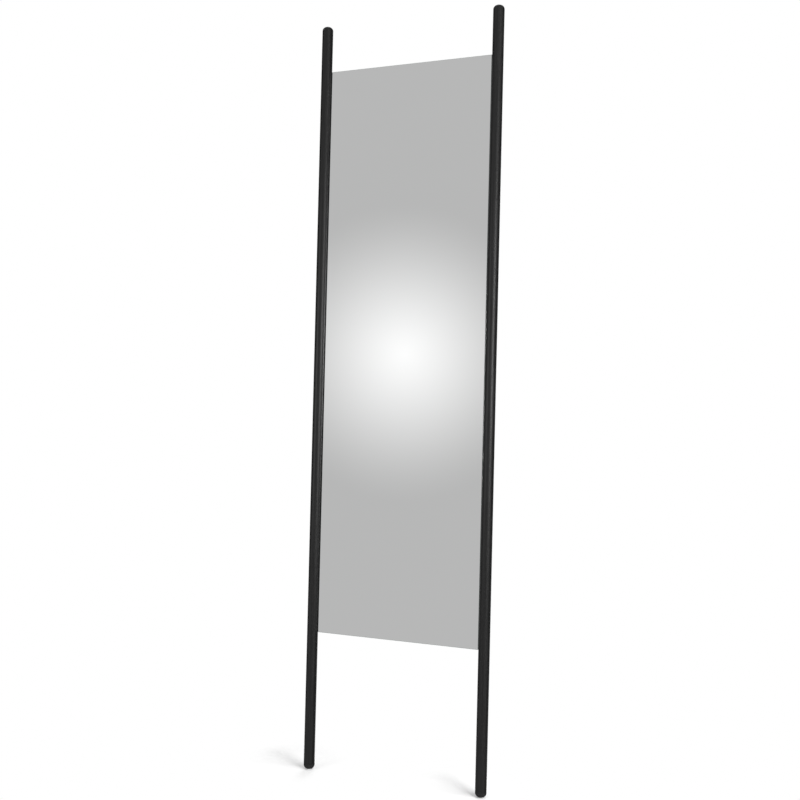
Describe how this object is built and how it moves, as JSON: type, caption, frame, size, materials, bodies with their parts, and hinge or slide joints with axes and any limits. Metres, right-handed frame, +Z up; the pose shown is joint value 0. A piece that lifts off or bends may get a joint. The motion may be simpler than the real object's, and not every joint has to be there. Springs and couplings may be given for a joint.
{
  "type": "leaning floor mirror",
  "caption": "Tall frameless mirror held between two round black poles that stand on rubber feet and lean back against a wall.",
  "frame": {"origin": "on the floor, midway between the poles, at the middle of the leaning mirror's depth", "axes": "+X to the right as seen from the front, +Y towards the wall that it leans on, +Z up"},
  "size_m": [0.4768, 0.143, 1.8505],
  "materials": {
    "pole_wood": "black stain under a satin lacquer, fine grain along the pole",
    "mirror_glass": "silvered back, polished edges with a small arris",
    "black_rubber": "matte moulded black",
    "black_board": "black-faced fibreboard, matte",
    "foam_tape": "double-sided foam mirror tape",
    "plated_steel": "zinc plated"
  },
  "bodies": {
    "root": {"left_pole": "pole_wood", "left_foot_pad": "black_rubber", "left_wall_bumper": "black_rubber", "left_edge_strip": "black_rubber", "left_board_screw_1": "plated_steel", "left_board_screw_2": "plated_steel", "left_board_screw_3": "plated_steel", "left_board_screw_4": "plated_steel", "left_board_screw_5": "plated_steel", "left_plate_screw": "plated_steel", "right_pole": "pole_wood", "right_foot_pad": "black_rubber", "right_wall_bumper": "black_rubber", "right_edge_strip": "black_rubber", "right_board_screw_1": "plated_steel", "right_board_screw_2": "plated_steel", "right_board_screw_3": "plated_steel", "right_board_screw_4": "plated_steel", "right_board_screw_5": "plated_steel", "right_plate_screw": "plated_steel", "mirror_glass": "mirror_glass", "back_board": "black_board", "left_tape": "foam_tape", "centre_tape": "foam_tape", "right_tape": "foam_tape", "strap_plate": "plated_steel"}
  },
  "joints": []
}
